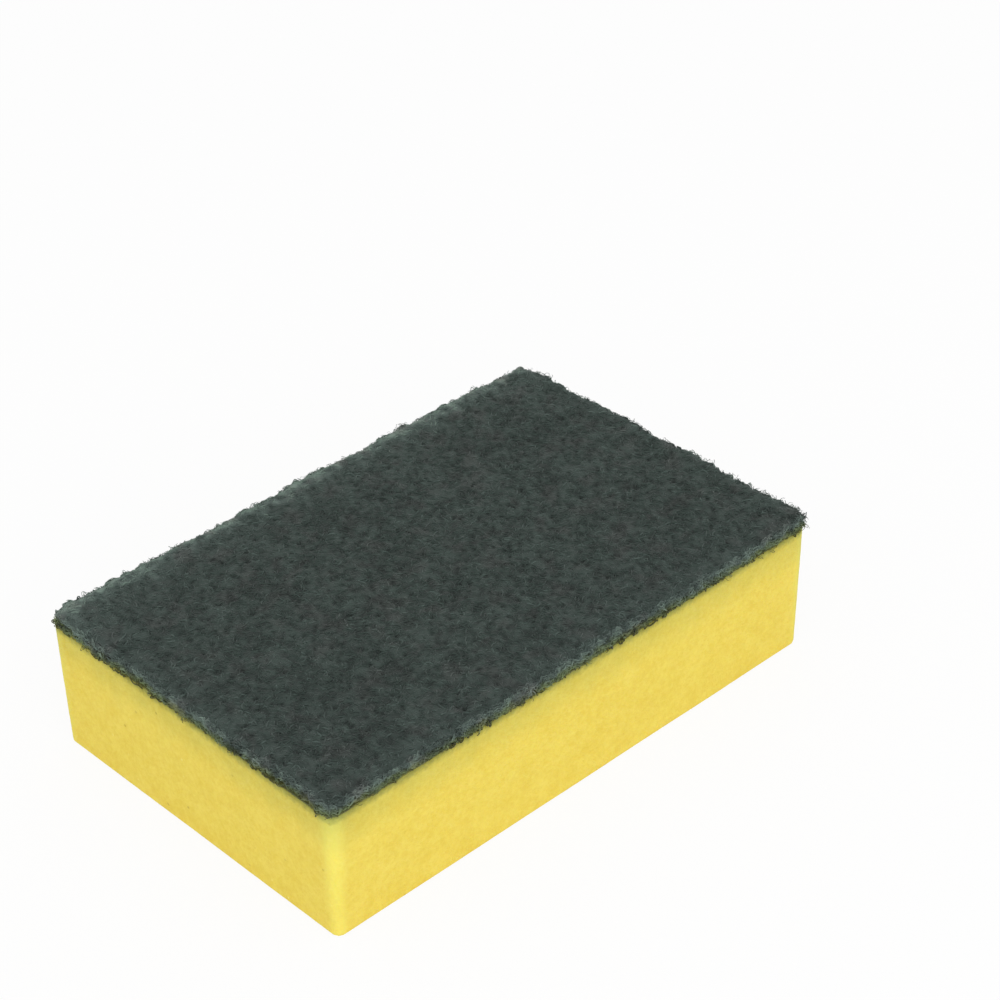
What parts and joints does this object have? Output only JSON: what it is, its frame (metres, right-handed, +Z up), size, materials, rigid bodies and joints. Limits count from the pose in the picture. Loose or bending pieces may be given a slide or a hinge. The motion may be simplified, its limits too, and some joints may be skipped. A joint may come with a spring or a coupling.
{
  "type": "cleaning sponge",
  "caption": "Rectangular cleaning sponge: a yellow foam block lying on its face, with a dark green scouring pad of nonwoven fibre bonded over its top.",
  "frame": {"origin": "centre of the foam face that the sponge lies on", "axes": "+X along the length, +Y across the width, +Z up from the foam to the scouring pad"},
  "size_m": [0.1491, 0.0975, 0.0381],
  "materials": {
    "foam": "soft open-cell polyurethane foam, matt, fine cells",
    "adhesive": "dried flexible adhesive, satin",
    "scouring_fibre": "nonwoven abrasive fibre, coarse and matt"
  },
  "bodies": {
    "root": {"foam_block": "foam", "adhesive_film": "adhesive", "scouring_pad": "scouring_fibre"}
  },
  "joints": []
}
